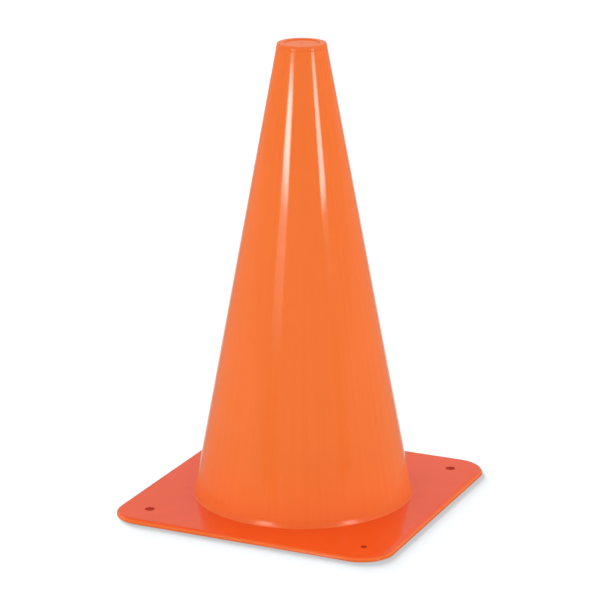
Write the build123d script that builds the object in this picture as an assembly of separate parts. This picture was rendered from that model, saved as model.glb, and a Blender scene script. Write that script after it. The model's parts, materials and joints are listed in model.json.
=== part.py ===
from build123d import *

import math
import os

# Sports marker cone: a hollow tapered wall set into a square base plate and closed at the top by a recessed cap.
# Millimetres, +Z up. The origin is the middle of the plate's underside, and the plate's sides run along X and Y.

# Overall sizes
HEIGHT = 305.0  # floor to the top of the rim
FOOT_DIAMETER = 144.7  # outside of the taper where it meets the top of the plate
TIP_DIAMETER = 31.6  # outside of the taper where it meets the top of the rim
WALL = 1.8  # tapered wall, measured square to its surface

# Base plate
PLATE_THICKNESS = 3.0
PLATE_BORDER = 24.95  # plate beyond the foot diameter, at the middle of each side
CORNER_RADIUS = 22.0  # corners of the plate, seen from above
UPPER_EDGE_ROUND = 2.0  # upper edge of the plate, all round

# Peg holes, one in each corner of the plate
PEG_HOLE_DIAMETER = 6.5
SMALL_PEG_HOLE_DIAMETER = 4.0
PEG_HOLE_INSET = 21.65  # hole centre to each of its two nearest sides
SMALL_PEG_HOLE_INSET = 19.5  # the same, for the small hole

# Foot joint: a thin flange in a rebate of the plate, and the end of the wall in the plate's opening
FOOT_FILLET = 4.0  # hollow curve from the wall out to the plate
FLANGE_LAND = 0.3  # flat flange outside that curve
FLANGE_THICKNESS = 1.2
FOOT_CLEARANCE = 0.1  # radial gap round the flange and round the end of the wall

# Cap joint: the rim sits on the end of the wall, and a skirt inside the wall locates it
CAP_BAND = 3.0  # height of the cap's outer face, from the joint line to the top of the rim
JOINT_CHAMFER = 0.35  # on both sides of the joint line, which makes the crease
SKIRT_LENGTH = 6.0
SKIRT_WALL = 1.4
SKIRT_CLEARANCE = 0.1  # radial gap between the skirt and the end of the wall

# Cap top
RIM_CHAMFER = 0.8  # outer edge of the rim
RIM_WIDTH = 4.1  # from the tip diameter in to the mouth of the recess
RECESS_DEPTH = 0.75
RECESS_FLARE = 0.5  # by how much the recess is wider at its mouth than at its floor, in radius
CAP_FLOOR = 1.7  # thickness of the recess floor
GATE_DIAMETER = 2.2  # moulding mark in the middle of the recess
GATE_HEIGHT = 0.4

# Sizes that follow from those above
foot_radius = FOOT_DIAMETER / 2
tip_radius = TIP_DIAMETER / 2
taper = (foot_radius - tip_radius) / (HEIGHT - PLATE_THICKNESS)
level_wall = WALL * math.hypot(1, taper)
fillet_reach = FOOT_FILLET * math.tan((math.pi / 2 - math.atan(taper)) / 2)
flange_radius = foot_radius + fillet_reach + FLANGE_LAND
flange_underside = PLATE_THICKNESS - FLANGE_THICKNESS
joint_height = HEIGHT - CAP_BAND
side = FOOT_DIAMETER + 2 * PLATE_BORDER


def outside_radius(height):
    """Radius of the tapered wall's outside at a height."""
    return foot_radius - taper * (height - PLATE_THICKNESS)


def inside_radius(height):
    """Radius of the tapered wall's inside at a height."""
    return outside_radius(height) - level_wall


def turned(corners):
    """Solid turned about Z from a closed outline, given as (radius, height, rounding) at each corner."""
    points = [(radius, height) for radius, height, rounding in corners]
    roundings = [rounding for radius, height, rounding in corners]
    with BuildPart() as piece:
        with BuildSketch(Plane.XZ):
            with BuildLine():
                FilletPolyline(*points, radius=roundings, close=True)
            make_face()
        revolve(axis=Axis.Z)
    return piece.part


def make_cone_shell():
    """Hollow tapered wall, open below, with its flared foot and flange."""
    chamfer_height = joint_height - JOINT_CHAMFER
    return turned(
        [
            (inside_radius(0), 0, 0),
            (foot_radius, 0, 0),
            (foot_radius, flange_underside, 0),
            (flange_radius, flange_underside, 0),
            (flange_radius, PLATE_THICKNESS, 0),
            (foot_radius, PLATE_THICKNESS, FOOT_FILLET),
            (outside_radius(chamfer_height), chamfer_height, 0),
            (outside_radius(joint_height) - JOINT_CHAMFER, joint_height, 0),
            (inside_radius(joint_height), joint_height, 0),
        ]
    )


def make_base_plate():
    """Square plate with its opening, the rebate for the flange and the peg holes."""
    hole_offset = side / 2 - PEG_HOLE_INSET
    small_hole_offset = side / 2 - SMALL_PEG_HOLE_INSET
    with BuildPart() as plate:
        with BuildSketch():
            RectangleRounded(side, side, CORNER_RADIUS)
        extrude(amount=PLATE_THICKNESS)
        fillet(plate.faces().sort_by(Axis.Z)[-1].edges(), UPPER_EDGE_ROUND)
        with Locations((0, 0, PLATE_THICKNESS)):
            CounterBoreHole(
                radius=foot_radius + FOOT_CLEARANCE,
                counter_bore_radius=flange_radius + FOOT_CLEARANCE,
                counter_bore_depth=FLANGE_THICKNESS,
            )
        with Locations(
            (-hole_offset, -hole_offset, PLATE_THICKNESS),
            (-hole_offset, hole_offset, PLATE_THICKNESS),
            (hole_offset, hole_offset, PLATE_THICKNESS),
        ):
            Hole(PEG_HOLE_DIAMETER / 2)
        with Locations((small_hole_offset, -small_hole_offset, PLATE_THICKNESS)):
            Hole(SMALL_PEG_HOLE_DIAMETER / 2)
    return plate.part


def make_top_cap():
    """Cap with its rim, recessed floor, moulding mark and locating skirt."""
    skirt_outside = inside_radius(joint_height) - SKIRT_CLEARANCE
    skirt_inside = skirt_outside - SKIRT_WALL
    skirt_end = joint_height - SKIRT_LENGTH
    chamfer_height = joint_height + JOINT_CHAMFER
    rim_edge = HEIGHT - RIM_CHAMFER
    mouth_radius = tip_radius - RIM_WIDTH
    floor_top = HEIGHT - RECESS_DEPTH
    floor_underside = floor_top - CAP_FLOOR
    gate_radius = GATE_DIAMETER / 2
    return turned(
        [
            (0, floor_underside, 0),
            (skirt_inside, floor_underside, 0),
            (skirt_inside, skirt_end, 0),
            (skirt_outside, skirt_end, 0),
            (skirt_outside, joint_height, 0),
            (outside_radius(joint_height) - JOINT_CHAMFER, joint_height, 0),
            (outside_radius(chamfer_height), chamfer_height, 0),
            (outside_radius(rim_edge), rim_edge, 0),
            (tip_radius - RIM_CHAMFER, HEIGHT, 0),
            (mouth_radius, HEIGHT, 0),
            (mouth_radius - RECESS_FLARE, floor_top, 0),
            (gate_radius, floor_top, 0),
            (gate_radius, floor_top + GATE_HEIGHT, 0),
            (0, floor_top + GATE_HEIGHT, 0),
        ]
    )


PIECES = {
    "cone_shell": make_cone_shell,
    "base_plate": make_base_plate,
    "top_cap": make_top_cap,
}

os.makedirs("parts", exist_ok=True)
for name, make in PIECES.items():
    export_step(make(), f"parts/{name}.step")
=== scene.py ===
"""Studio scene of a sports marker cone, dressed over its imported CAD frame. Metres, +Z up."""

import json
import logging
import math
from collections.abc import Sequence
from dataclasses import dataclass, replace
from enum import Enum
from functools import cache

import bmesh
import bpy
from mathutils import Matrix, Vector

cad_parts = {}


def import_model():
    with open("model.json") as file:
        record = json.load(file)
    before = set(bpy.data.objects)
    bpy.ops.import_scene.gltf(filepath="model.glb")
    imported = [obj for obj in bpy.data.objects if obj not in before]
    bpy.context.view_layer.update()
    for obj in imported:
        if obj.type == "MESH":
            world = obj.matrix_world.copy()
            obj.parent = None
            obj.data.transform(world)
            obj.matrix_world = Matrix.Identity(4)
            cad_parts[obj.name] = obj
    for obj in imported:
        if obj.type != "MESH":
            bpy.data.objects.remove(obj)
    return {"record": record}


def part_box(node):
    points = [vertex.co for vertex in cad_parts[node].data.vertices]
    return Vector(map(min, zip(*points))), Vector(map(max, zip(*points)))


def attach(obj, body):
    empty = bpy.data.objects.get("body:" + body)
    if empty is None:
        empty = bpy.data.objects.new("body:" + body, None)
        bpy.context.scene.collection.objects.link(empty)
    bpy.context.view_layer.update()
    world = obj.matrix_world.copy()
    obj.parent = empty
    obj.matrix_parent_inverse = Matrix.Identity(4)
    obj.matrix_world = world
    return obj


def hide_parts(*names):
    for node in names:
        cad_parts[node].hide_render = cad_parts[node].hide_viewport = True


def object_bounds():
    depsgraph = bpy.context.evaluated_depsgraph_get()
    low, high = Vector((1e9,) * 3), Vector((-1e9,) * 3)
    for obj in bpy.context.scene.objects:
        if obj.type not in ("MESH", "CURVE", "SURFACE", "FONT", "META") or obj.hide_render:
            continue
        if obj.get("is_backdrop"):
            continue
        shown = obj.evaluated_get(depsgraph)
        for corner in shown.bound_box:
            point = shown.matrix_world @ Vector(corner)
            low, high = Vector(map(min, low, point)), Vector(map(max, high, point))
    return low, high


LOG = logging.getLogger("marker_cone")
BODY = "root"
IMAGE_SIDE = 600
MM_PER_METRE = 1000

# Fineness and shading of the meshes
TURN_STEPS = 256
ARC_STEPS = 8
SHARP_ANGLE = math.radians(32)
ON_AXIS = 1e-9  # a ring of a smaller radius is a single point on the axis
FLUSH = 0.00001  # how far from the plate's top a face still counts as level with it
LEVEL = 0.999  # a face whose normal rises by more than this looks straight up
SECOND_FINISH = 1  # place of a piece's second finish among its materials

# Shader values that the finishes share
WHITE = (1.0, 1.0, 1.0, 1.0)
NOISE_LOW = 0.3  # most values of a noise texture lie between these two
NOISE_HIGH = 0.7
SHEEN_ROUGHNESS = 0.35
SHEEN_TINT = (1.0, 0.32, 0.12)

Colour = tuple[float, float, float]
Direction = tuple[float, float, float]
Corner = tuple[float, float, float]
Point = tuple[float, float]
Ring = list[bmesh.types.BMVert]


class Slot(Enum):
    """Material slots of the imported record."""

    CONE = "cone_plastic"
    PLATE = "plate_plastic"
    CAP = "cap_plastic"


class Group(Enum):
    """Shader node groups that the plastics share."""

    FLOW = "moulding_flow"
    DRAW_LINES = "draw_lines"
    SCUFFS = "handling_scuffs"


def opaque(colour: Colour) -> tuple[float, float, float, float]:
    """Linear colour with full alpha."""
    return (*colour, 1.0)


class Nodes:
    """Short way to add and join nodes in one shader tree."""

    def __init__(self, tree: bpy.types.NodeTree) -> None:
        """Starts from an empty tree.

        Args:
            tree: the shader tree to fill.
        """
        self.tree = tree
        self.tree.nodes.clear()

    def add(self, kind: str, values: dict | None = None, **settings: object) -> bpy.types.Node:
        """Adds a node.

        Args:
            kind: the node's type, without the leading ShaderNode.
            values: what each input socket holds, by name or index, or the socket that feeds it.
            settings: attributes of the node itself.

        Returns:
            The new node.
        """
        node = self.tree.nodes.new(f"ShaderNode{kind}")
        for name, setting in settings.items():
            setattr(node, name, setting)
        for key, value in (values or {}).items():
            if isinstance(value, bpy.types.NodeSocket):
                self.tree.links.new(value, node.inputs[key])
            else:
                node.inputs[key].default_value = value
        return node

    def effect(self, group: Group, values: dict) -> bpy.types.NodeSocket:
        """Places a shared group.

        Args:
            group: which group.
            values: its inputs, as numbers or sockets.

        Returns:
            The group's output.
        """
        tree = bpy.data.node_groups[group.value]
        return self.add("Group", values, node_tree=tree).outputs["Value"]

    def place(self) -> bpy.types.NodeSocket:
        """Place of the shaded point in its object's own frame."""
        return self.add("TexCoord").outputs["Object"]

    def height(self, vector: bpy.types.NodeSocket) -> bpy.types.NodeSocket:
        """Upward part of a place or a direction."""
        return self.add("SeparateXYZ", {0: vector}).outputs["Z"]

    def math(self, operation: str, first: object, second: object = 0.0) -> bpy.types.NodeSocket:
        """Result of a Math node.

        Args:
            operation: the node's operation.
            first: a number or a socket.
            second: a number or a socket.

        Returns:
            The node's output.
        """
        return self.add("Math", {0: first, 1: second}, operation=operation).outputs[0]

    def vector_math(self, operation: str, first: object, second: object = (0, 0, 0)) -> bpy.types.NodeSocket:
        """Vector that a Vector Math node works out.

        Args:
            operation: the node's operation.
            first: a vector or a socket.
            second: a vector or a socket.

        Returns:
            The node's vector output.
        """
        return self.add("VectorMath", {0: first, 1: second}, operation=operation).outputs[0]

    def measure(self, operation: str, first: object, second: object = (0, 0, 0)) -> bpy.types.NodeSocket:
        """Number that a Vector Math node works out.

        Args:
            operation: the node's operation.
            first: a vector or a socket.
            second: a vector or a socket.

        Returns:
            The node's value output.
        """
        return self.add("VectorMath", {0: first, 1: second}, operation=operation).outputs["Value"]

    def scale(self, vector: bpy.types.NodeSocket, factor: object) -> bpy.types.NodeSocket:
        """Vector or colour times a number."""
        return self.add("VectorMath", {0: vector, "Scale": factor}, operation="SCALE").outputs[0]

    def spread(
        self, value: bpy.types.NodeSocket, low: float, high: float, start: float, end: float
    ) -> bpy.types.NodeSocket:
        """Smooth change of a value from one range to another.

        Args:
            value: the socket to read.
            low: where the change begins.
            high: where the change ends.
            start: result at and below low.
            end: result at and above high.

        Returns:
            The Map Range node's output.
        """
        values = {"Value": value, "From Min": low, "From Max": high, "To Min": start, "To Max": end}
        return self.add("MapRange", values, interpolation_type="SMOOTHSTEP").outputs["Result"]

    # The Mix node keeps its number sockets at 2 and 3 and its colour sockets at 6 and 7.

    def mix(self, factor: object, first: object, second: object) -> bpy.types.NodeSocket:
        """Mix of two numbers.

        Args:
            factor: share of the second number.
            first: a number or a socket.
            second: a number or a socket.

        Returns:
            The mixed number's socket.
        """
        return self.add("Mix", {0: factor, 2: first, 3: second}, data_type="FLOAT").outputs[0]

    def blend(self, factor: object, first: object, second: object) -> bpy.types.NodeSocket:
        """Mix of two colours.

        Args:
            factor: share of the second colour.
            first: a colour or a socket.
            second: a colour or a socket.

        Returns:
            The mixed colour's socket.
        """
        return self.add("Mix", {0: factor, 6: first, 7: second}, data_type="RGBA").outputs[2]


def new_material(name: str) -> tuple[bpy.types.Material, Nodes]:
    """Material with an empty shader tree.

    Args:
        name: the material's name.

    Returns:
        The material and the helper for its nodes.
    """
    material = bpy.data.materials.new(name)
    material.use_nodes = True
    return material, Nodes(material.node_tree)


class GroupBuilder:
    """Makes the shared shader node groups."""

    FLOW_DETAIL = 3.0
    LINE_DETAIL = 4.0
    LINE_ROUGHNESS = 0.6
    BEND_SCALE = 30.0
    BEND_DETAIL = 2.0
    BEND_REACH = 0.03
    HAIR_WIDTH = 0.025
    PATCH_SCALE = 55.0
    PATCH_DETAIL = 1.0

    @staticmethod
    def start(group: Group, inputs: Sequence[str]) -> tuple[Nodes, bpy.types.Node]:
        """Opens a new group with a place input, further value inputs and one output.

        Args:
            group: which group.
            inputs: names of the value inputs.

        Returns:
            The node helper and the group's input node.
        """
        tree = bpy.data.node_groups.new(group.value, "ShaderNodeTree")
        tree.interface.new_socket(name="Place", in_out="INPUT", socket_type="NodeSocketVector")
        for name in inputs:
            tree.interface.new_socket(name=name, in_out="INPUT", socket_type="NodeSocketFloat")
        tree.interface.new_socket(name="Value", in_out="OUTPUT", socket_type="NodeSocketFloat")
        nodes = Nodes(tree)
        return nodes, tree.nodes.new("NodeGroupInput")

    @staticmethod
    def end(nodes: Nodes, value: bpy.types.NodeSocket) -> None:
        """Joins a value to the group's output."""
        nodes.tree.links.new(value, nodes.tree.nodes.new("NodeGroupOutput").inputs["Value"])

    @classmethod
    def build(cls) -> None:
        """Makes every group."""
        cls.flow()
        cls.draw_lines()
        cls.scuffs()

    @classmethod
    def flow(cls) -> None:
        """Broad soft clouds that the plastic leaves as it fills the mould."""
        nodes, given = cls.start(Group.FLOW, ["Scale"])
        place = given.outputs["Place"]
        values = {"Vector": place, "Scale": given.outputs["Scale"], "Detail": cls.FLOW_DETAIL}
        broad = nodes.add("TexNoise", values)
        cls.end(nodes, nodes.spread(broad.outputs[0], NOISE_LOW, NOISE_HIGH, 0.0, 1.0))

    @classmethod
    def draw_lines(cls) -> None:
        """Fine lines from the tip to the foot, as a mould leaves them when the moulding is drawn."""
        nodes, given = cls.start(Group.DRAW_LINES, ["Around", "Along"])
        place = given.outputs["Place"]
        heading = nodes.vector_math("NORMALIZE", nodes.vector_math("MULTIPLY", place, (1.0, 1.0, 0.0)))
        around = nodes.scale(heading, given.outputs["Around"])
        upward = nodes.vector_math("MULTIPLY", place, (0.0, 0.0, 1.0))
        along = nodes.scale(upward, given.outputs["Along"])
        stretched = nodes.vector_math("ADD", around, along)
        lines = nodes.add(
            "TexNoise",
            {"Vector": stretched, "Scale": 1.0, "Detail": cls.LINE_DETAIL, "Roughness": cls.LINE_ROUGHNESS},
        )
        cls.end(nodes, lines.outputs[0])

    @classmethod
    def scuffs(cls) -> None:
        """Sparse hair scratches from handling and stacking."""
        nodes, given = cls.start(Group.SCUFFS, ["Scale", "Share"])
        place = given.outputs["Place"]
        bend = nodes.add("TexNoise", {"Vector": place, "Scale": cls.BEND_SCALE, "Detail": cls.BEND_DETAIL})
        pushed = nodes.scale(bend.outputs[1], cls.BEND_REACH)
        bent = nodes.vector_math("ADD", place, pushed)
        values = {"Vector": bent, "Scale": given.outputs["Scale"]}
        cells = nodes.add("TexVoronoi", values, feature="DISTANCE_TO_EDGE")
        hair = nodes.spread(cells.outputs["Distance"], 0.0, cls.HAIR_WIDTH, 1.0, 0.0)
        patch = nodes.add("TexNoise", {"Vector": place, "Scale": cls.PATCH_SCALE, "Detail": cls.PATCH_DETAIL})
        bare = nodes.math("SUBTRACT", 1.0, given.outputs["Share"])
        kept = nodes.math("GREATER_THAN", patch.outputs[0], bare)
        cls.end(nodes, nodes.math("MULTIPLY", hair, kept))


@dataclass(frozen=True)
class FootZone:
    """Change of a plastic towards the foot: a broad low zone, and a narrow zone at the foot itself. Both zones'
    colours are painted light: a brighter, more saturated red low down that stands in for the light the plate
    takes from the wall and the orange it throws back onto it.
    """

    start: float
    end: float
    colour: Colour
    roughness: float
    low_end: float
    low_painted_light: Colour

    def colours(
        self, nodes: Nodes, height: bpy.types.NodeSocket, above: bpy.types.NodeSocket
    ) -> bpy.types.NodeSocket:
        """Lays both zones' painted light over a colour.

        Args:
            nodes: the material's node helper.
            height: height on the object.
            above: colour above the zones.

        Returns:
            The changed colour.
        """
        low = nodes.spread(height, self.start, self.low_end, 1.0, 0.0)
        lowered = nodes.blend(low, above, opaque(self.low_painted_light))
        foot = nodes.spread(height, self.start, self.end, 1.0, 0.0)
        return nodes.blend(foot, lowered, opaque(self.colour))

    def roughnesses(self, nodes: Nodes, height: bpy.types.NodeSocket, above: float) -> bpy.types.NodeSocket:
        """Roughness that changes from the foot to the given one above."""
        return nodes.spread(height, self.start, self.end, self.roughness, above)


@dataclass(frozen=True)
class PlasticFinish:
    """Glossy moulded plastic with faint flow clouds, draw lines and handling scuffs.

    The side colour, where there is one, is painted light: the faces that don't look up get their own shade of
    the colour for how light falls on them, fully where the normal rises by less than edge_upright, and not at
    all where it rises by more than edge_level.
    """

    name: str
    slot: Slot
    colour: Colour
    cloud_colour: Colour
    roughness: float
    scuff_roughness: float
    flow_scale: float
    lines_around: float
    lines_along: float
    line_tint: float
    line_height: float
    scuff_scale: float
    scuff_share: float
    index: float = 1.45
    sheen: float = 0.0
    side_painted_light: Colour | None = None
    edge_upright: float = 0.75
    edge_level: float = 0.998
    foot: FootZone | None = None

    @cache
    def material(self) -> bpy.types.Material:
        """Builds the shader, once for each finish.

        Returns:
            The new material.
        """
        material, nodes = new_material(self.name)
        place = nodes.place()
        values = {"Place": place, "Around": self.lines_around, "Along": self.lines_along}
        lines = nodes.effect(Group.DRAW_LINES, values)
        relief = nodes.add("Bump", {"Strength": 1.0, "Distance": self.line_height, "Height": lines})
        surface = nodes.add(
            "BsdfPrincipled",
            {
                "Base Color": self.colours(nodes, place, lines),
                "Roughness": self.roughnesses(nodes, place),
                "IOR": self.index,
                "Normal": relief.outputs["Normal"],
                "Sheen Weight": self.sheen,
                "Sheen Roughness": SHEEN_ROUGHNESS,
                "Sheen Tint": opaque(SHEEN_TINT),
            },
        )
        nodes.add("OutputMaterial", {"Surface": surface.outputs[0]})
        return material

    def colours(
        self, nodes: Nodes, place: bpy.types.NodeSocket, lines: bpy.types.NodeSocket
    ) -> bpy.types.NodeSocket:
        """Colour over the surface.

        Args:
            nodes: the material's node helper.
            place: place on the object.
            lines: the draw lines.

        Returns:
            The colour's socket.
        """
        flow = nodes.effect(Group.FLOW, {"Place": place, "Scale": self.flow_scale})
        colour = nodes.blend(flow, opaque(self.colour), opaque(self.cloud_colour))
        if self.side_painted_light is not None:
            # Painted light: faces that don't look up take the side colour, for how light falls on them.
            facing = nodes.height(nodes.add("NewGeometry").outputs["Normal"])
            side = nodes.spread(facing, self.edge_upright, self.edge_level, 1.0, 0.0)
            colour = nodes.blend(side, colour, opaque(self.side_painted_light))
        if self.foot is not None:
            colour = self.foot.colours(nodes, nodes.height(place), colour)
        shade = nodes.spread(lines, NOISE_LOW, NOISE_HIGH, 1.0 - self.line_tint, 1.0 + self.line_tint)
        return nodes.scale(colour, shade)

    def roughnesses(self, nodes: Nodes, place: bpy.types.NodeSocket) -> bpy.types.NodeSocket:
        """Roughness over the surface.

        Args:
            nodes: the material's node helper.
            place: place on the object.

        Returns:
            The roughness's socket.
        """
        values = {"Place": place, "Scale": self.scuff_scale, "Share": self.scuff_share}
        scuffs = nodes.effect(Group.SCUFFS, values)
        scuffed = nodes.math("MULTIPLY", scuffs, self.scuff_roughness - self.roughness)
        if self.foot is None:
            return nodes.math("ADD", scuffed, self.roughness)
        return nodes.math("ADD", scuffed, self.foot.roughnesses(nodes, nodes.height(place), self.roughness))


CONE_FINISH = PlasticFinish(
    name="cone_plastic",
    slot=Slot.CONE,
    colour=(0.905, 0.180, 0.034),
    cloud_colour=(0.895, 0.172, 0.031),
    roughness=0.06,
    scuff_roughness=0.16,
    flow_scale=14.0,
    lines_around=22.0,
    lines_along=3.0,
    line_tint=0.015,
    line_height=0.00001,
    scuff_scale=60.0,
    scuff_share=0.42,
    sheen=0.25,
    # The foot zone's colours are painted light: brighter and more saturated red towards the foot.
    foot=FootZone(
        start=0.003,
        end=0.009,
        colour=(0.985, 0.158, 0.020),
        roughness=0.26,
        low_end=0.05,
        low_painted_light=(0.98, 0.182, 0.030),
    ),
)
PLATE_FINISH = PlasticFinish(
    name="plate_plastic",
    slot=Slot.PLATE,
    colour=(0.91, 0.094, 0.012),
    cloud_colour=(0.89, 0.088, 0.011),
    roughness=0.11,
    scuff_roughness=0.20,
    flow_scale=18.0,
    lines_around=9.0,
    lines_along=3.0,
    line_tint=0.015,
    line_height=0.00001,
    scuff_scale=60.0,
    scuff_share=0.42,
    # Painted light: the plate's rounded edges are painted paler and more orange than its top, as they catch more
    # light.
    side_painted_light=(0.94, 0.165, 0.030),
)
# Painted shade: the peg holes' walls are a darker copy of the plate's plastic, for the shade inside the holes.
PEG_HOLE_PAINTED_SHADE = replace(
    PLATE_FINISH,
    name="peg_hole_painted_shade",
    colour=(0.60, 0.040, 0.006),
    cloud_colour=(0.57, 0.037, 0.005),
    roughness=0.45,
    scuff_roughness=0.5,
    side_painted_light=None,
)
CAP_FINISH = PlasticFinish(
    name="cap_plastic",
    slot=Slot.CAP,
    # Painted reflection: the cap's level top is painted paler than its band, for the bright surround that it
    # reflects.
    colour=(1.0, 0.222, 0.075),
    cloud_colour=(0.99, 0.212, 0.070),
    roughness=0.14,
    scuff_roughness=0.24,
    flow_scale=60.0,
    lines_around=12.0,
    lines_along=20.0,
    line_tint=0.01,
    line_height=0.00001,
    scuff_scale=160.0,
    scuff_share=0.42,
    index=1.30,
    sheen=0.65,
    side_painted_light=(0.87, 0.166, 0.034),
    edge_upright=0.92,
)


def new_object(name: str, data: bpy.types.ID) -> bpy.types.Object:
    """Object in the scene.

    Args:
        name: the object's name.
        data: its mesh, camera or light.

    Returns:
        The new object.
    """
    made = bpy.data.objects.new(name, data)
    bpy.context.scene.collection.objects.link(made)
    return made


def new_mesh(name: str, form: bmesh.types.BMesh) -> bpy.types.Mesh:
    """Mesh of a form.

    Args:
        name: the mesh's name.
        form: the form, which is freed.

    Returns:
        The new mesh.
    """
    mesh = bpy.data.meshes.new(name)
    form.to_mesh(mesh)
    form.free()
    return mesh


def finish_mesh(name: str, form: bmesh.types.BMesh) -> bpy.types.Object:
    """Turns a form into a smooth shaded object of the scene.

    Args:
        name: the object's name.
        form: the form, which is freed.

    Returns:
        The new object.
    """
    bmesh.ops.recalc_face_normals(form, faces=form.faces)
    mesh = new_mesh(name, form)
    mesh.shade_smooth()
    mesh.set_sharp_from_angle(angle=SHARP_ANGLE)
    piece = new_object(name, mesh)
    weighted = piece.modifiers.new("even_normals", "WEIGHTED_NORMAL")
    weighted.keep_sharp = True
    return piece


def dress(piece: bpy.types.Object, node: str, finish: PlasticFinish) -> bpy.types.Object:
    """Gives a piece its finish and lets it stand for a CAD node.

    Args:
        piece: the finished mesh.
        node: the CAD node that it stands for.
        finish: the plastic that it is made of.

    Returns:
        The same piece.
    """
    piece.data.materials.append(finish.material())
    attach(piece, BODY)
    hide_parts(node)
    return piece


def rounded_outline(corners: Sequence[Corner]) -> list[Point]:
    """Closed outline whose corners are rounded by arcs.

    Args:
        corners: radius, height and rounding of each corner, in order.

    Returns:
        The outline's points as (radius, height).
    """
    points: list[Point] = []
    count = len(corners)
    for index, (radius, height, rounding) in enumerate(corners):
        here = Vector((radius, height))
        if rounding == 0:
            points.append((radius, height))
            continue
        back = (Vector(corners[index - 1][:2]) - here).normalized()
        ahead = (Vector(corners[(index + 1) % count][:2]) - here).normalized()
        half = back.angle(ahead) / 2
        middle = here + (back + ahead).normalized() * (rounding / math.sin(half))
        start = here + back * (rounding / math.tan(half)) - middle
        end = here + ahead * (rounding / math.tan(half)) - middle
        sweep = math.pi - 2 * half
        for step in range(ARC_STEPS + 1):
            share = step / ARC_STEPS
            first = math.sin((1 - share) * sweep) / math.sin(sweep)
            second = math.sin(share * sweep) / math.sin(sweep)
            point = middle + start * first + end * second
            points.append((point.x, point.y))
    return points


def circle(form: bmesh.types.BMesh, centre: Vector, radius: float, height: float, steps: int) -> Ring:
    """One closed ring of points round a circle.

    Args:
        form: the form to add the points to.
        centre: middle of the circle, of which only X and Y count.
        radius: the circle's radius.
        height: height of the ring.
        steps: how many points.

    Returns:
        The ring's points.
    """
    ring = []
    for step in range(steps):
        angle = math.tau * step / steps
        x = centre.x + radius * math.cos(angle)
        y = centre.y + radius * math.sin(angle)
        ring.append(form.verts.new((x, y, height)))
    return ring


def join_rings(form: bmesh.types.BMesh, first: Ring, second: Ring) -> list[bmesh.types.BMFace]:
    """Bridges two closed rings, either of which may be a single point on the axis.

    Args:
        form: the form that holds both rings.
        first: one ring.
        second: the other ring.

    Returns:
        The new faces.
    """
    faces: list[bmesh.types.BMFace] = []
    count = max(len(first), len(second))
    if count == 1:
        return faces
    for step in range(count):
        after = (step + 1) % count
        around = [first[step % len(first)], first[after % len(first)], second[after % len(second)]]
        around.append(second[step % len(second)])
        faces.append(form.faces.new(list(dict.fromkeys(around))))
    return faces


def turned(name: str, corners: Sequence[Corner]) -> bpy.types.Object:
    """Object turned about Z from a closed outline.

    Args:
        name: the object's name.
        corners: radius, height and rounding of each corner.

    Returns:
        The new object.
    """
    form = bmesh.new()
    axis = Vector((0, 0, 0))
    rings: list[Ring] = []
    for radius, height in rounded_outline(corners):
        if radius < ON_AXIS:
            rings.append([form.verts.new((0.0, 0.0, height))])
        else:
            rings.append(circle(form, axis, radius, height, TURN_STEPS))
    for index, ring in enumerate(rings):
        join_rings(form, rings[index - 1], ring)
    return finish_mesh(name, form)


@dataclass
class ConeWall:
    """Hollow tapered wall, open below, with its flared foot and flange. The flare's tilt is in degrees."""

    foot_radius: float = 0.07235
    tip_radius: float = 0.0158
    height: float = 0.305
    plate_thickness: float = 0.003
    wall: float = 0.0018
    flange_radius: float = 0.076
    flange_thickness: float = 0.0012
    flare_height: float = 0.0028
    flare_tilt: float = 24.0
    flare_round: float = 0.022
    corner_round: float = 0.0005
    end_round: float = 0.0004
    cap_band: float = 0.003
    joint_chamfer: float = 0.00022
    joint_round: float = 0.0001

    @property
    def taper(self) -> float:
        """Loss of radius for each metre of height."""
        return (self.foot_radius - self.tip_radius) / (self.height - self.plate_thickness)

    @property
    def joint_height(self) -> float:
        """Height of the line where the cap sits."""
        return self.height - self.cap_band

    def outside(self, height: float) -> float:
        """Outer radius at a height."""
        return self.foot_radius - self.taper * (height - self.plate_thickness)

    def inside(self, height: float) -> float:
        """Inner radius at a height."""
        return self.outside(height) - self.wall * math.hypot(1, self.taper)

    def build(self) -> bpy.types.Object:
        """Makes the wall in place of its CAD node, with the plate's finish on the flange's top.

        Returns:
            The wall's object.
        """
        underside = self.plate_thickness - self.flange_thickness
        flare_top = self.plate_thickness + self.flare_height
        flare_reach = self.flare_height * math.tan(math.radians(self.flare_tilt))
        shoulder = self.joint_height - self.joint_chamfer
        piece = turned(
            "cone_wall",
            [
                (self.inside(0), 0, self.end_round),
                (self.foot_radius, 0, self.end_round),
                (self.foot_radius, underside, 0),
                (self.flange_radius, underside, 0),
                (self.flange_radius, self.plate_thickness, 0),
                (self.outside(flare_top) + flare_reach, self.plate_thickness, self.corner_round),
                (self.outside(flare_top), flare_top, self.flare_round),
                (self.outside(shoulder), shoulder, self.joint_round),
                (self.outside(self.joint_height) - self.joint_chamfer, self.joint_height, 0),
                (self.inside(self.joint_height), self.joint_height, 0),
            ],
        )
        dress(piece, "cone_shell", CONE_FINISH)
        piece.data.materials.append(PLATE_FINISH.material())
        for face in piece.data.polygons:
            if abs(face.center.z - self.plate_thickness) < FLUSH and face.normal.z > LEVEL:
                face.material_index = SECOND_FINISH
        return piece


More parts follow.
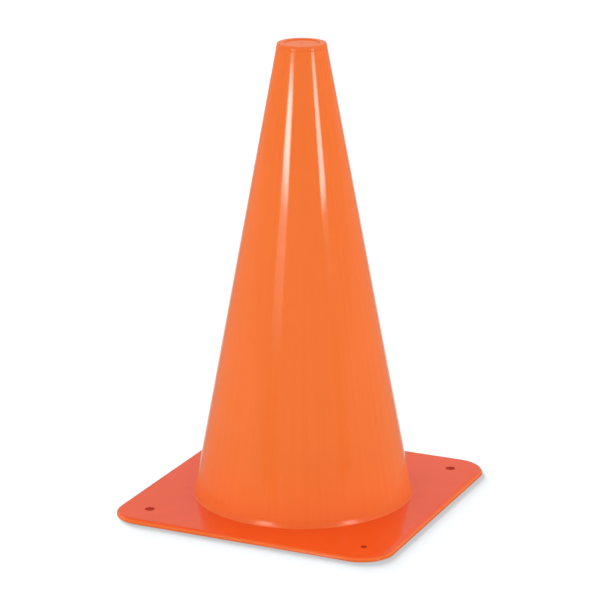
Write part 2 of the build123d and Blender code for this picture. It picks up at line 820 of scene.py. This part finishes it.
@dataclass
class TopCap:
    """Cap with its rounded rim, recessed floor, moulding mark and locating skirt."""

    wall: ConeWall
    skirt_length: float = 0.006
    skirt_wall: float = 0.0014
    skirt_clearance: float = 0.0001
    skirt_root_round: float = 0.0003
    skirt_inner_round: float = 0.0002
    skirt_outer_round: float = 0.0004
    rim_round: float = 0.0011
    rim_width: float = 0.0041
    mouth_round: float = 0.0003
    recess_depth: float = 0.00075
    recess_flare: float = 0.0005
    floor_round: float = 0.0003
    floor_thickness: float = 0.0017
    gate_radius: float = 0.0011
    gate_height: float = 0.0002
    gate_foot_round: float = 0.0001
    gate_edge_round: float = 0.00008

    def build(self) -> bpy.types.Object:
        """Makes the cap in place of its CAD node.

        Returns:
            The cap's object.
        """
        joint = self.wall.joint_height
        top = self.wall.height
        skirt_outside = self.wall.inside(joint) - self.skirt_clearance
        skirt_inside = skirt_outside - self.skirt_wall
        skirt_end = joint - self.skirt_length
        shoulder = joint + self.wall.joint_chamfer
        mouth = self.wall.tip_radius - self.rim_width
        floor_top = top - self.recess_depth
        floor_under = floor_top - self.floor_thickness
        gate_top = floor_top + self.gate_height
        piece = turned(
            "cone_cap",
            [
                (0, floor_under, 0),
                (skirt_inside, floor_under, self.skirt_root_round),
                (skirt_inside, skirt_end, self.skirt_inner_round),
                (skirt_outside, skirt_end, self.skirt_outer_round),
                (skirt_outside, joint, 0),
                (self.wall.outside(joint) - self.wall.joint_chamfer, joint, 0),
                (self.wall.outside(shoulder), shoulder, self.wall.joint_round),
                (self.wall.outside(top), top, self.rim_round),
                (mouth, top, self.mouth_round),
                (mouth - self.recess_flare, floor_top, self.floor_round),
                (self.gate_radius, floor_top, self.gate_foot_round),
                (self.gate_radius, gate_top, self.gate_edge_round),
                (0, gate_top, 0),
            ],
        )
        return dress(piece, "top_cap", CAP_FINISH)


@dataclass
class BasePlate:
    """Square plate with rounded corners, its opening, the rebate for the flange and the peg holes."""

    wall: ConeWall
    half_side: float
    thickness: float
    holes: list[tuple[Vector, float]]
    corner_radius: float = 0.022
    upper_drop: float = 0.002
    upper_run: float = 0.004
    lower_round: float = 0.0003
    hole_round: float = 0.0001
    clearance: float = 0.00002
    corner_steps: int = 24
    hole_steps: int = 48

    @classmethod
    def from_frame(cls, wall: ConeWall, record: dict) -> "BasePlate":
        """Reads the plate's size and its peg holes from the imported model.

        Args:
            wall: the wall that stands in the plate.
            record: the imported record.

        Returns:
            The plate.
        """
        low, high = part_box("base_plate")
        holes = []
        for mount in record["mounts"]:
            if mount["kind"] == "bore":
                holes.append((Vector(mount["pos_m"]), mount["dims"]["r_mm"] / MM_PER_METRE))
        return cls(wall=wall, half_side=(high.x - low.x) / 2, thickness=high.z, holes=holes)

    def square_ring(self, form: bmesh.types.BMesh, inset: float, height: float) -> Ring:
        """One closed ring of points round the plate's outline.

        Args:
            form: the form to add the points to.
            inset: how far inside the full outline.
            height: height of the ring.

        Returns:
            The ring's points.
        """
        middle = self.half_side - self.corner_radius
        radius = self.corner_radius - inset
        ring = []
        for corner in range(4):
            start = corner * math.pi / 2
            centre_x = middle * (1 if corner in (0, 3) else -1)
            centre_y = middle * (1 if corner in (0, 1) else -1)
            for step in range(self.corner_steps + 1):
                angle = start + math.pi / 2 * step / self.corner_steps
                x = centre_x + radius * math.cos(angle)
                y = centre_y + radius * math.sin(angle)
                ring.append(form.verts.new((x, y, height)))
        return ring

    @staticmethod
    def stack(form: bmesh.types.BMesh, rings: list[Ring], finish: int = 0) -> None:
        """Bridges each ring to the next.

        Args:
            form: the form that holds the rings.
            rings: closed rings of equal length.
            finish: place of the new faces' finish among the plate's materials.
        """
        for below, above in zip(rings, rings[1:]):
            for face in join_rings(form, below, above):
                face.material_index = finish

    def edge_profile(self, lower: float, run: float, drop: float) -> list[Point]:
        """Inset and height of the rings up an edge that is rounded at both ends.

        Args:
            lower: rounding at the underside.
            run: level reach of the rounding at the top.
            drop: upright reach of the rounding at the top.

        Returns:
            The rings from the underside to the top.
        """
        profile = []
        for step in range(ARC_STEPS + 1):
            angle = math.pi / 2 * step / ARC_STEPS
            profile.append((lower * (1 - math.sin(angle)), lower * (1 - math.cos(angle))))
        for step in range(ARC_STEPS + 1):
            angle = math.pi / 2 * step / ARC_STEPS
            profile.append((run * (1 - math.cos(angle)), self.thickness - drop * (1 - math.sin(angle))))
        return profile

    @staticmethod
    def fill(form: bmesh.types.BMesh, loops: list[Ring], up: float) -> None:
        """Closes a flat face between an outer loop and the loops inside it.

        Args:
            form: the form that holds the loops.
            loops: closed loops of points, all at one height.
            up: which way the face looks, 1 for up and -1 for down.
        """
        edges = []
        for loop in loops:
            for index, vertex in enumerate(loop):
                edges.append(form.edges.get((loop[index - 1], vertex)))
        bmesh.ops.triangle_fill(form, use_beauty=True, edges=edges, normal=(0, 0, up))

    def build(self) -> bpy.types.Object:
        """Makes the plate in place of its CAD node.

        Returns:
            The plate's object.
        """
        form = bmesh.new()
        origin = Vector((0, 0, 0))
        sides = []
        for inset, height in self.edge_profile(self.lower_round, self.upper_run, self.upper_drop):
            sides.append(self.square_ring(form, inset, height))
        self.stack(form, sides)
        opening = self.wall.foot_radius + self.clearance
        rebate = self.wall.flange_radius + self.clearance
        ledge = self.thickness - self.wall.flange_thickness
        inner = []
        for radius, height in ((opening, 0), (opening, ledge), (rebate, ledge), (rebate, self.thickness)):
            inner.append(circle(form, origin, radius, height, TURN_STEPS))
        self.stack(form, inner)
        tops = [sides[-1], inner[-1]]
        bottoms = [sides[0], inner[0]]
        for centre, radius in self.holes:
            rings = []
            for inset, height in self.edge_profile(self.hole_round, self.hole_round, self.hole_round):
                rings.append(circle(form, centre, radius + inset, height, self.hole_steps))
            # The hole walls take the darker finish that paints the shade inside them.
            self.stack(form, rings, finish=SECOND_FINISH)
            tops.append(rings[-1])
            bottoms.append(rings[0])
        self.fill(form, tops, 1)
        self.fill(form, bottoms, -1)
        piece = dress(finish_mesh("plate", form), "base_plate", PLATE_FINISH)
        piece.data.materials.append(PEG_HOLE_PAINTED_SHADE.material())
        return piece


@dataclass(frozen=True)
class PhotoCamera:
    """Camera at the photograph's viewing angle. Angles in degrees, places in the picture in pixels."""

    distance: float = 1.670
    focal_pixels: float = 2564.0
    azimuth: float = 24.75
    elevation: float = 16.14
    roll: float = -0.18
    middle_across: float = 302.6
    middle_down: float = 273.20
    sensor: float = 36.0
    clip_start: float = 0.01
    clip_end: float = 100.0

    def build(self, middle: Vector) -> bpy.types.Object:
        """Places the camera so that the object's middle lands where it does in the photograph.

        Args:
            middle: the object's middle.

        Returns:
            The camera's object.
        """
        turn = math.radians(self.azimuth)
        rise = math.radians(self.elevation)
        back = Vector((math.sin(turn) * math.cos(rise), -math.cos(turn) * math.cos(rise), math.sin(rise)))
        right = Vector((math.cos(turn), math.sin(turn), 0))
        ahead = -back
        up = right.cross(ahead)
        swing = math.atan((self.middle_across - IMAGE_SIDE / 2) / self.focal_pixels)
        nod = math.atan((self.middle_down - IMAGE_SIDE / 2) / self.focal_pixels)
        swung = ahead * math.cos(swing) - right * math.sin(swing)
        right = right * math.cos(swing) + ahead * math.sin(swing)
        aim = swung * math.cos(nod) + up * math.sin(nod)
        up = up * math.cos(nod) - swung * math.sin(nod)
        tilt = math.radians(self.roll)
        across = right * math.cos(tilt) + up * math.sin(tilt)
        upward = up * math.cos(tilt) - right * math.sin(tilt)
        data = bpy.data.cameras.new("photo_camera")
        data.sensor_width = self.sensor
        data.lens = self.focal_pixels / IMAGE_SIDE * self.sensor
        data.clip_start = self.clip_start
        data.clip_end = self.clip_end
        camera = new_object("photo_camera", data)
        axes = Matrix((across, upward, -aim)).transposed()
        camera.matrix_world = Matrix.Translation(middle + back * self.distance) @ axes.to_4x4()
        bpy.context.scene.camera = camera
        return camera


@dataclass(frozen=True)
class Softbox:
    """Tall light panel that faces the object, soft at its edges, with a dim skirt and a dim crown."""

    name: str
    azimuth: float
    distance: float
    width: float
    low: float
    high: float
    radiance: float
    skirt_radiance: float
    crown_radiance: float
    low_fade: float
    high_fade: float
    side_fade: float
    skirt_low: float = 0.12
    skirt_fade: float = 0.20
    crown_high: float = 1.6
    crown_fade: float = 0.7

    def build(self) -> bpy.types.Object:
        """Places the panel on the stage.

        Returns:
            The panel's object.
        """
        form = bmesh.new()
        corners = []
        for side, height in ((-1, 0.0), (1, 0.0), (1, self.crown_high), (-1, self.crown_high)):
            corners.append(form.verts.new((side * self.width / 2, 0.0, height)))
        form.faces.new(corners)
        panel = new_object(self.name, new_mesh(self.name, form))
        turn = Matrix.Rotation(math.radians(self.azimuth), 4, "Z")
        panel.matrix_world = turn @ Matrix.Translation((0, -self.distance, 0))
        panel.visible_camera = False
        panel.visible_diffuse = False
        panel.visible_shadow = False
        panel.data.materials.append(self.glow())
        panel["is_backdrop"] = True
        return panel

    def glow(self) -> bpy.types.Material:
        """Light of the panel, which fades at its sides, into the skirt below and into the crown above.

        Returns:
            The new material.
        """
        material, nodes = new_material(self.name)
        place = nodes.add("SeparateXYZ", {0: nodes.place()}).outputs
        height = place["Z"]
        skirt_high = self.skirt_low + self.skirt_fade
        skirt = nodes.spread(height, self.skirt_low, skirt_high, 0.0, self.skirt_radiance)
        lower = nodes.spread(height, self.low - self.low_fade, self.low, 0.0, 1.0)
        high_start = self.high - self.high_fade
        upper = nodes.spread(height, high_start, self.high, self.radiance, self.crown_radiance)
        topped = nodes.spread(height, self.crown_high - self.crown_fade, self.crown_high, 1.0, 0.0)
        crowned = nodes.math("MULTIPLY", upper, topped)
        upright = nodes.mix(lower, skirt, crowned)
        aside = nodes.math("ABSOLUTE", place["X"])
        edge = nodes.spread(aside, self.width / 2 - self.side_fade, self.width / 2, 1.0, 0.0)
        light = nodes.add("Emission", {"Color": WHITE, "Strength": nodes.math("MULTIPLY", upright, edge)})
        nodes.add("OutputMaterial", {"Surface": light.outputs[0]})
        return material


@dataclass(frozen=True)
class Studio:
    """White table and surround, a low light for the table alone, and two panels that show as highlights.

    Elevations and azimuths are in degrees. The covered part of the floor is a rounded square just inside the
    plate's outline.
    """

    panels: tuple[Softbox, ...]
    view_azimuth: float
    floor_radius: float = 8.0
    floor_segments: int = 64
    floor_colour: Colour = (0.188, 0.2, 0.208)
    reflected_colour: Colour = (0.095, 0.095, 0.095)
    floor_lift: float = 0.40
    far_level: float = 0.8
    far_apex: float = 0.18
    far_start: float = 0.91
    far_end: float = 0.99
    covered_core: float = 0.0753
    covered_round: float = 0.0212
    white_level: float = 1.03
    front_level: float = 0.875
    side_gain: float = 0.62
    room_level: float = 0.2
    backdrop_level: float = 0.56
    backdrop_start: float = 3.0
    backdrop_end: float = 22.0
    ceiling_start: float = 30.0
    ceiling_end: float = 50.0
    side_start: float = -0.2
    side_end: float = 0.4
    table_power: float = 45.0
    table_elevation: float = 9.5
    table_azimuth: float = 42.0
    table_spread: float = 26.0

    @property
    def away(self) -> Direction:
        """Level direction from the camera towards the object."""
        turn = math.radians(self.view_azimuth)
        return (-math.sin(turn), math.cos(turn), 0.0)

    @property
    def across(self) -> Direction:
        """Level direction to the camera's right."""
        turn = math.radians(self.view_azimuth)
        return (math.cos(turn), math.sin(turn), 0.0)

    def build(self, plate: bpy.types.Object) -> None:
        """Makes the floor, the surround and the lights.

        Args:
            plate: the piece that casts the shadow on the table.
        """
        floor = self.floor()
        self.surround()
        self.table_light(floor, plate)
        for panel in self.panels:
            panel.build()

    @staticmethod
    def reflected(nodes: Nodes) -> bpy.types.NodeSocket:
        """Mask of the rays that show the studio in a reflection or through something clear.

        Args:
            nodes: the node helper of the floor or the surround.

        Returns:
            The mask.
        """
        path = nodes.add("LightPath").outputs
        return nodes.math("MAXIMUM", path["Is Glossy Ray"], path["Is Transmission Ray"])

    def floor(self) -> bpy.types.Object:
        """Round floor under the object.

        Returns:
            The floor's object.
        """
        form = bmesh.new()
        bmesh.ops.create_circle(form, cap_ends=True, segments=self.floor_segments, radius=self.floor_radius)
        floor = new_object("studio_floor", new_mesh("studio_floor", form))
        floor.data.materials.append(self.paper())
        floor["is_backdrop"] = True
        return floor

    def paper(self) -> bpy.types.Material:
        """Paper of the floor, white under its light and dim in reflections, save straight behind the object.

        It is clear from below, and clear under the plate to all rays but the camera's own.

        Returns:
            The new material.
        """
        material, nodes = new_material("studio_floor")
        place = nodes.place()
        core = (self.covered_core, self.covered_core, 0.0)
        beyond = nodes.vector_math("SUBTRACT", nodes.vector_math("ABSOLUTE", place), core)
        outer = nodes.measure("LENGTH", nodes.vector_math("MAXIMUM", beyond))
        open_floor = nodes.math("GREATER_THAN", outer, self.covered_round)
        lift = nodes.math("MULTIPLY", open_floor, self.floor_lift)
        paper = nodes.add("BsdfDiffuse", {"Color": opaque(self.floor_colour)})
        light = nodes.add("Emission", {"Color": WHITE, "Strength": lift})
        lit = nodes.add("AddShader", {0: paper.outputs[0], 1: light.outputs[0]})
        dim = nodes.add("BsdfDiffuse", {"Color": opaque(self.reflected_colour)})
        apex = tuple(-self.far_apex * share for share in self.away)
        heading = nodes.vector_math("NORMALIZE", nodes.vector_math("SUBTRACT", place, apex))
        depth = nodes.measure("DOT_PRODUCT", heading, self.away)
        far = nodes.spread(depth, self.far_start, self.far_end, 0.0, self.far_level)
        pale = nodes.add("Emission", {"Color": WHITE, "Strength": far})
        mirrored = nodes.add("AddShader", {0: dim.outputs[0], 1: pale.outputs[0]})
        shown = nodes.add("MixShader", {0: self.reflected(nodes), 1: lit.outputs[0], 2: mirrored.outputs[0]})
        clear = nodes.add("BsdfTransparent")
        below = nodes.add("NewGeometry").outputs["Backfacing"]
        covered = nodes.math("SUBTRACT", 1.0, open_floor)
        unseen = nodes.math("SUBTRACT", 1.0, nodes.add("LightPath").outputs["Is Camera Ray"])
        passing = nodes.math("MAXIMUM", below, nodes.math("MULTIPLY", covered, unseen))
        surface = nodes.add("MixShader", {0: passing, 1: shown.outputs[0], 2: clear.outputs[0]})
        nodes.add("OutputMaterial", {"Surface": surface.outputs[0]})
        return material

    def surround(self) -> None:
        """White surround, which reflections show as a pale backdrop and, before the object, a dim room."""
        world = bpy.data.worlds.new("studio_surround")
        world.use_nodes = True
        nodes = Nodes(world.node_tree)
        heading = nodes.add("TexCoord").outputs["Generated"]
        depth = nodes.measure("DOT_PRODUCT", heading, self.away)
        behind = nodes.spread(depth, self.side_start, self.side_end, 0.0, 1.0)
        height = nodes.height(heading)
        raised = self.between(nodes, height, self.backdrop_start, self.backdrop_end, 0.0, 1.0)
        lowered = self.between(nodes, height, self.ceiling_start, self.ceiling_end, 1.0, 0.0)
        backdrop = nodes.math("MULTIPLY", behind, nodes.math("MULTIPLY", raised, lowered))
        room = nodes.mix(backdrop, self.room_level, self.backdrop_level)
        aside = nodes.measure("DOT_PRODUCT", heading, self.across)
        gain = nodes.math("MULTIPLY", nodes.math("MULTIPLY", aside, aside), self.side_gain)
        soft = nodes.math("ADD", gain, self.front_level)
        shown = nodes.mix(self.reflected(nodes), soft, room)
        seen = nodes.add("LightPath").outputs["Is Camera Ray"]
        strength = nodes.mix(seen, shown, self.white_level)
        light = nodes.add("Background", {"Color": WHITE, "Strength": strength})
        nodes.add("OutputWorld", {"Surface": light.outputs[0]})
        bpy.context.scene.world = world

    @staticmethod
    def between(
        nodes: Nodes, height: bpy.types.NodeSocket, low: float, high: float, start: float, end: float
    ) -> bpy.types.NodeSocket:
        """Smooth change between two elevations.

        Args:
            nodes: the surround's node helper.
            height: sine of the elevation.
            low: elevation where the change begins.
            high: elevation where the change ends.
            start: result at and below low.
            end: result at and above high.

        Returns:
            The changed value.
        """
        return nodes.spread(height, math.sin(math.radians(low)), math.sin(math.radians(high)), start, end)

    def table_light(self, floor: bpy.types.Object, plate: bpy.types.Object) -> bpy.types.Object:
        """Low light from behind that reaches only the floor and is blocked only by the plate.

        Args:
            floor: what it lights.
            plate: what casts its shadow.

        Returns:
            The light's object.
        """
        data = bpy.data.lights.new("table_light", "SUN")
        data.energy = self.table_power
        data.angle = math.radians(self.table_spread)
        light = new_object("table_light", data)
        rise = math.radians(self.table_elevation)
        turn = math.radians(self.table_azimuth)
        shine = Vector((math.sin(turn) * math.cos(rise), -math.cos(turn) * math.cos(rise), -math.sin(rise)))
        light.rotation_euler = shine.to_track_quat("-Z", "Y").to_euler()
        lit = bpy.data.collections.new("table_light_reaches")
        lit.objects.link(floor)
        light.light_linking.receiver_collection = lit
        blocking = bpy.data.collections.new("table_light_stops_at")
        blocking.objects.link(plate)
        light.light_linking.blocker_collection = blocking
        return light


VIEW_AZIMUTH = PhotoCamera().azimuth
PANELS = (
    Softbox(
        name="panel_left",
        azimuth=VIEW_AZIMUTH - 39.0,
        distance=1.5,
        width=0.56,
        low=0.414,
        high=0.535,
        radiance=17.0,
        skirt_radiance=2.0,
        crown_radiance=1.5,
        low_fade=0.09,
        high_fade=0.065,
        side_fade=0.14,
    ),
    Softbox(
        name="panel_right",
        azimuth=VIEW_AZIMUTH + 48.0,
        distance=1.5,
        width=0.45,
        low=0.341,
        high=0.56,
        radiance=12.0,
        skirt_radiance=0.6,
        crown_radiance=2.5,
        low_fade=0.015,
        high_fade=0.10,
        side_fade=0.10,
    ),
)


def main() -> None:
    """Builds the pieces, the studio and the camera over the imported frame."""
    logging.basicConfig(level=logging.INFO, format="%(name)s: %(message)s")
    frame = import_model()
    cad_low, cad_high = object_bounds()
    bpy.context.scene.view_settings.view_transform = "Standard"
    GroupBuilder.build()
    wall = ConeWall(
        height=cad_high.z, plate_thickness=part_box("base_plate")[1].z, flange_radius=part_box("cone_shell")[1].x
    )
    plate = BasePlate.from_frame(wall, frame["record"]).build()
    for piece in (wall.build(), plate, TopCap(wall).build()):
        LOG.info("%s: %d faces", piece.name, len(piece.data.polygons))
    Studio(panels=PANELS, view_azimuth=VIEW_AZIMUTH).build(plate)
    PhotoCamera().build((cad_low + cad_high) / 2)


if __name__ == "__main__":
    main()
